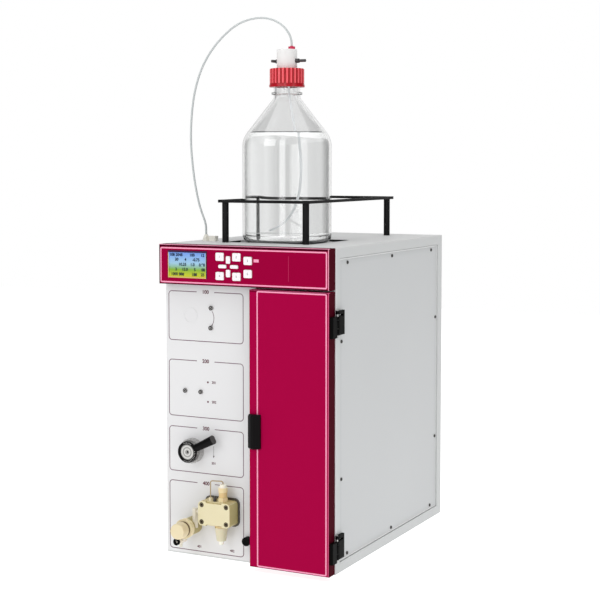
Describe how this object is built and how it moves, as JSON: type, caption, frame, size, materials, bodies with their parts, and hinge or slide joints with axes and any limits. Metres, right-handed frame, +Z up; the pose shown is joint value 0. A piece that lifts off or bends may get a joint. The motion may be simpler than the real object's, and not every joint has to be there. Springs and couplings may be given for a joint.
{
  "type": "ion chromatograph",
  "caption": "Benchtop ion chromatograph with hinged door, keypad fascia, injector, pump head and a rail-held eluent bottle on top.",
  "frame": {"origin": "under the middle of the instrument without its tubes, on the bench", "axes": "+Z up, +X to the instrument's right seen from the front, front faces -Y"},
  "size_m": [0.2935, 0.464, 0.8119],
  "materials": {
    "painted_steel_side": "satin",
    "painted_steel_top": "satin",
    "painted_steel_white": "satin",
    "burgundy_paint": "satin",
    "black_plastic": "satin",
    "black_paint": "satin",
    "steel": "brushed",
    "dark_screws": "blackened",
    "peek": "satin",
    "drive_paint": "satin",
    "display": "gloss",
    "key_white": "satin",
    "board_green": "satin",
    "liner_white": "satin",
    "block_grey": "satin",
    "magnet": "satin",
    "supply_metal": "satin",
    "rubber": "matte",
    "glass": "clear",
    "water": "clear",
    "cap_red": "satin",
    "head_white": "satin",
    "fitting_black": "satin",
    "tube": "satin"
  },
  "bodies": {
    "root": {"side_frames": "painted_steel_side", "side_covers": "painted_steel_side", "rear_panel": "painted_steel_side", "base_pan": "painted_steel_side", "fan_guard": "painted_steel_side", "top_cover": "painted_steel_top", "front_panel": "painted_steel_white", "fascia_housing": "burgundy_paint", "hinge_cabinet_leaves": "black_plastic", "bottle_tray": "black_plastic", "panel_ports": "black_plastic", "power_inlet": "black_plastic", "fan_housing": "black_plastic", "bottle_rail": "black_paint", "hinge_pins": "steel", "side_cover_screws": "steel", "injector_body": "steel", "pump_capillaries": "steel", "column_clips": "steel", "pump_head_screws": "dark_screws", "pump_head": "peek", "check_valves": "peek", "purge_valve_body": "peek", "separation_column": "peek", "pump_drive": "drive_paint", "display_module": "display", "key_board": "board_green", "main_board": "board_green", "compartment_liner": "liner_white", "suppressor": "block_grey", "conductivity_detector": "block_grey", "door_magnet": "magnet", "power_supply": "supply_metal", "rubber_feet": "rubber", "glass_bottle": "glass", "eluent": "water", "bottle_head": "head_white", "top_gland": "head_white", "head_fittings": "fitting_black", "eluent_tube": "tube", "suction_line": "tube"},
    "door": {"door": "burgundy_paint", "door_handle": "black_plastic", "hinge_door_leaves": "black_plastic"},
    "injector_lever": {"injector_handle": "black_plastic"},
    "purge_knob": {"purge_knob": "peek"},
    "cap": {"bottle_cap": "cap_red"},
    "shutoff": {"shutoff_lever": "black_plastic"},
    "rocker": {"power_rocker": "black_plastic"},
    "fan": {"fan_rotor": "black_plastic"},
    "key_1": {"key_1": "key_white"},
    "key_2": {"key_2": "key_white"},
    "key_3": {"key_3": "key_white"},
    "key_4": {"key_4": "key_white"},
    "key_5": {"key_5": "key_white"},
    "key_6": {"key_6": "key_white"},
    "key_up": {"key_up": "key_white"},
    "key_down": {"key_down": "key_white"},
    "key_left": {"key_left": "key_white"},
    "key_right": {"key_right": "key_white"}
  },
  "joints": [
    {"name": "door_hinge", "type": "hinge", "parent": "root", "child": "door", "pos_m": [0.14045, -0.182, 0.206], "axis": [0, 0, 1], "range_deg": [0, 110]},
    {"name": "injector_turn", "type": "hinge", "parent": "root", "child": "injector_lever", "pos_m": [-0.09625, -0.196, 0.164], "axis": [0, 1, 0], "range_deg": [0, 60]},
    {"name": "purge_turn", "type": "hinge", "parent": "root", "child": "purge_knob", "pos_m": [-0.09485, -0.222, 0.0522], "axis": [0, -1, 0], "range_deg": [0, 270]},
    {"name": "cap_turn", "type": "hinge", "parent": "root", "child": "cap", "pos_m": [-0.00675, -0.051, 0.7187], "axis": [0, 0, 1], "range_deg": [0, 540]},
    {"name": "shutoff_turn", "type": "hinge", "parent": "root", "child": "shutoff", "pos_m": [-0.02225, -0.051, 0.7441], "axis": [1, 0, 0], "range_deg": [0, 90]},
    {"name": "rocker_tilt", "type": "hinge", "parent": "root", "child": "rocker", "pos_m": [-0.09725, 0.2255, 0.066], "axis": [1, 0, 0], "range_deg": [0, 16]},
    {"name": "fan_spin", "type": "hinge", "parent": "root", "child": "fan", "pos_m": [0.06275, 0.213, 0.336], "axis": [0, 1, 0], "continuous": true},
    {"name": "key_1_press", "type": "slide", "parent": "root", "child": "key_1", "axis": [0, 1, 0], "range_m": [0, 0.001], "stiffness_N_per_m": 400},
    {"name": "key_2_press", "type": "slide", "parent": "root", "child": "key_2", "axis": [0, 1, 0], "range_m": [0, 0.001], "stiffness_N_per_m": 400},
    {"name": "key_3_press", "type": "slide", "parent": "root", "child": "key_3", "axis": [0, 1, 0], "range_m": [0, 0.001], "stiffness_N_per_m": 400},
    {"name": "key_4_press", "type": "slide", "parent": "root", "child": "key_4", "axis": [0, 1, 0], "range_m": [0, 0.001], "stiffness_N_per_m": 400},
    {"name": "key_5_press", "type": "slide", "parent": "root", "child": "key_5", "axis": [0, 1, 0], "range_m": [0, 0.001], "stiffness_N_per_m": 400},
    {"name": "key_6_press", "type": "slide", "parent": "root", "child": "key_6", "axis": [0, 1, 0], "range_m": [0, 0.001], "stiffness_N_per_m": 400},
    {"name": "key_up_press", "type": "slide", "parent": "root", "child": "key_up", "axis": [0, 1, 0], "range_m": [0, 0.001], "stiffness_N_per_m": 400},
    {"name": "key_down_press", "type": "slide", "parent": "root", "child": "key_down", "axis": [0, 1, 0], "range_m": [0, 0.001], "stiffness_N_per_m": 400},
    {"name": "key_left_press", "type": "slide", "parent": "root", "child": "key_left", "axis": [0, 1, 0], "range_m": [0, 0.001], "stiffness_N_per_m": 400},
    {"name": "key_right_press", "type": "slide", "parent": "root", "child": "key_right", "axis": [0, 1, 0], "range_m": [0, 0.001], "stiffness_N_per_m": 400}
  ]
}
